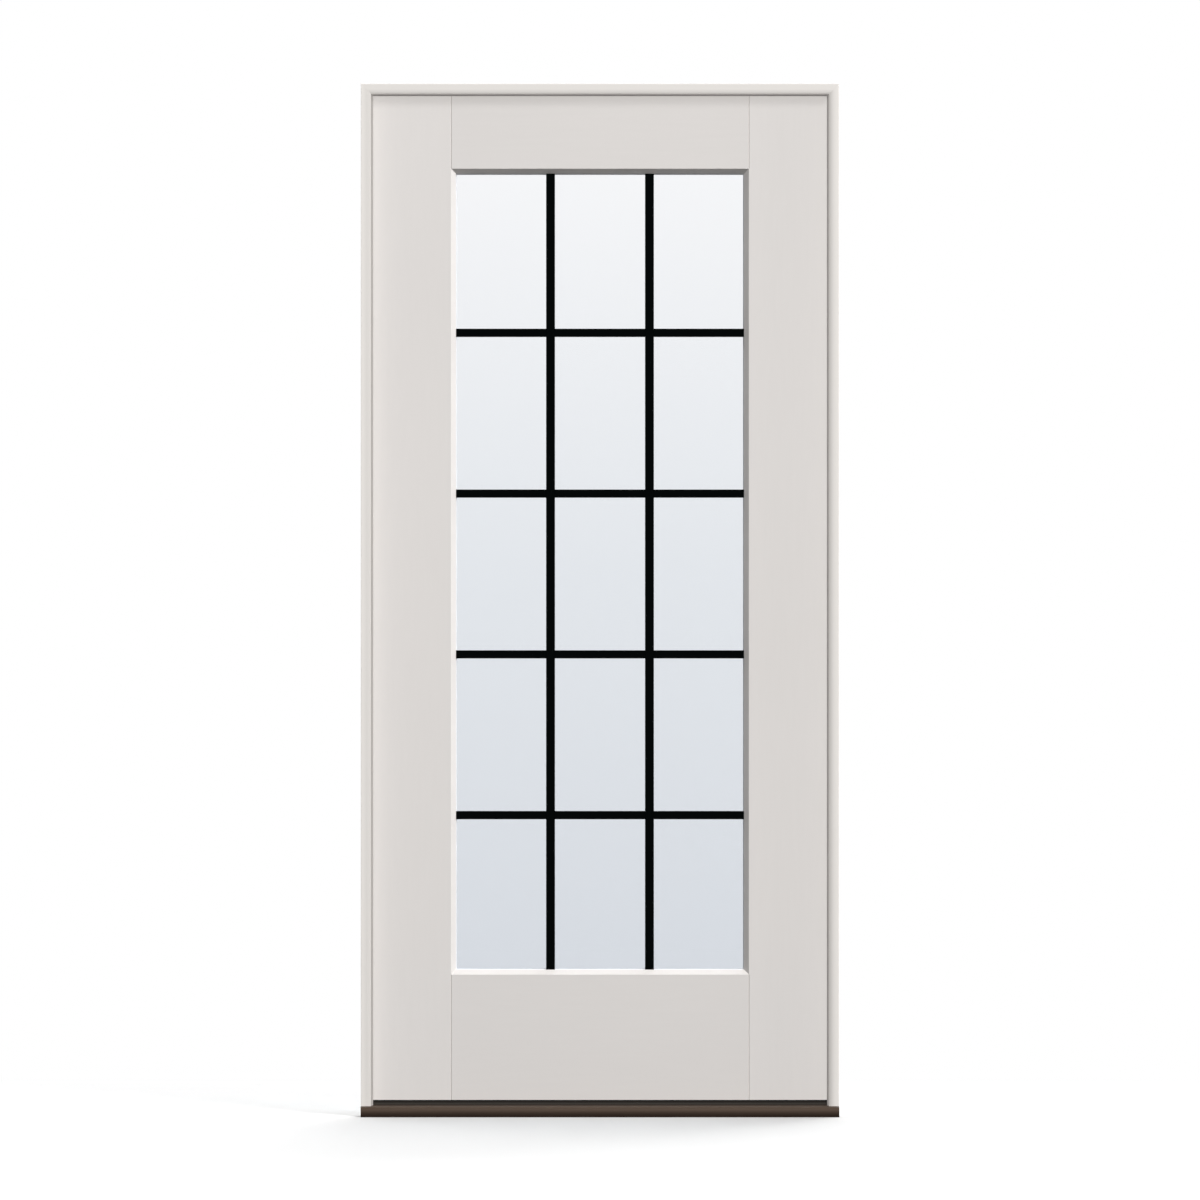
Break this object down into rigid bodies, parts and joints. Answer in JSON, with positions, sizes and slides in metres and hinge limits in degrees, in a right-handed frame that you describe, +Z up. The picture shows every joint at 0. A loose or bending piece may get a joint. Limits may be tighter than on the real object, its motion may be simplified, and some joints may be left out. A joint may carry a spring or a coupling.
{
  "type": "fiberglass entrance door",
  "caption": "Pale smooth fiberglass entrance door with a tall divided lite and black bars, in its slim frame with a bronze sill.",
  "frame": {"origin": "middle of the sill's underside, in the plane of the frame's outer face", "axes": "+X to the right seen from outside, +Y inwards through the door, +Z up"},
  "size_m": [0.9524, 0.1143, 2.0574],
  "materials": {
    "frame_finish": "satin off-white composite",
    "seal_foam": "grey foam weatherstrip",
    "bronze_sill": "dark bronze anodised",
    "sill_composite": "moulded composite",
    "dark_cap": "dark bronze vinyl",
    "door_skin": "smooth satin painted fiberglass",
    "door_core": "laminated stiles and rails",
    "clear_glass": "clear insulated glass",
    "spacer_metal": "mill finish",
    "black_bar": "flat black",
    "sweep_vinyl": "black vinyl",
    "hinge_steel": "satin nickel"
  },
  "bodies": {
    "frame": {"head_jamb": "frame_finish", "hinge_frame_leaf_bottom": "hinge_steel", "hinge_frame_leaf_middle": "hinge_steel", "hinge_frame_leaf_top": "hinge_steel", "hinge_jamb": "frame_finish", "hinge_pin_bottom": "hinge_steel", "hinge_pin_middle": "hinge_steel", "hinge_pin_top": "hinge_steel", "sill_base": "sill_composite", "sill_deck": "bronze_sill", "strike_jamb": "frame_finish", "threshold_cap": "dark_cap", "weatherstrip_head": "seal_foam", "weatherstrip_hinge_side": "seal_foam", "weatherstrip_strike_side": "seal_foam"},
    "door": {"bottom_rail": "door_core", "door_sweep": "sweep_vinyl", "exterior_cross_bar_1": "black_bar", "exterior_cross_bar_2": "black_bar", "exterior_cross_bar_3": "black_bar", "exterior_cross_bar_4": "black_bar", "exterior_skin": "door_skin", "exterior_upright_bar_1": "black_bar", "exterior_upright_bar_2": "black_bar", "glass_exterior": "clear_glass", "glass_interior": "clear_glass", "glass_spacer": "spacer_metal", "glazing_bead_bottom": "door_skin", "glazing_bead_left": "door_skin", "glazing_bead_right": "door_skin", "glazing_bead_top": "door_skin", "hinge_door_leaf_bottom": "hinge_steel", "hinge_door_leaf_middle": "hinge_steel", "hinge_door_leaf_top": "hinge_steel", "hinge_stile": "door_core", "inner_bar_lattice": "black_bar", "interior_cross_bar_1": "black_bar", "interior_cross_bar_2": "black_bar", "interior_cross_bar_3": "black_bar", "interior_cross_bar_4": "black_bar", "interior_skin": "door_skin", "interior_upright_bar_1": "black_bar", "interior_upright_bar_2": "black_bar", "lock_stile": "door_core", "top_rail": "door_core"}
  },
  "joints": [
    {"name": "door_hinge", "type": "hinge", "parent": "frame", "child": "door", "pos_m": [-0.46215, 0.0775, 0], "axis": [0, 0, 1], "range_deg": [0, 110]}
  ]
}
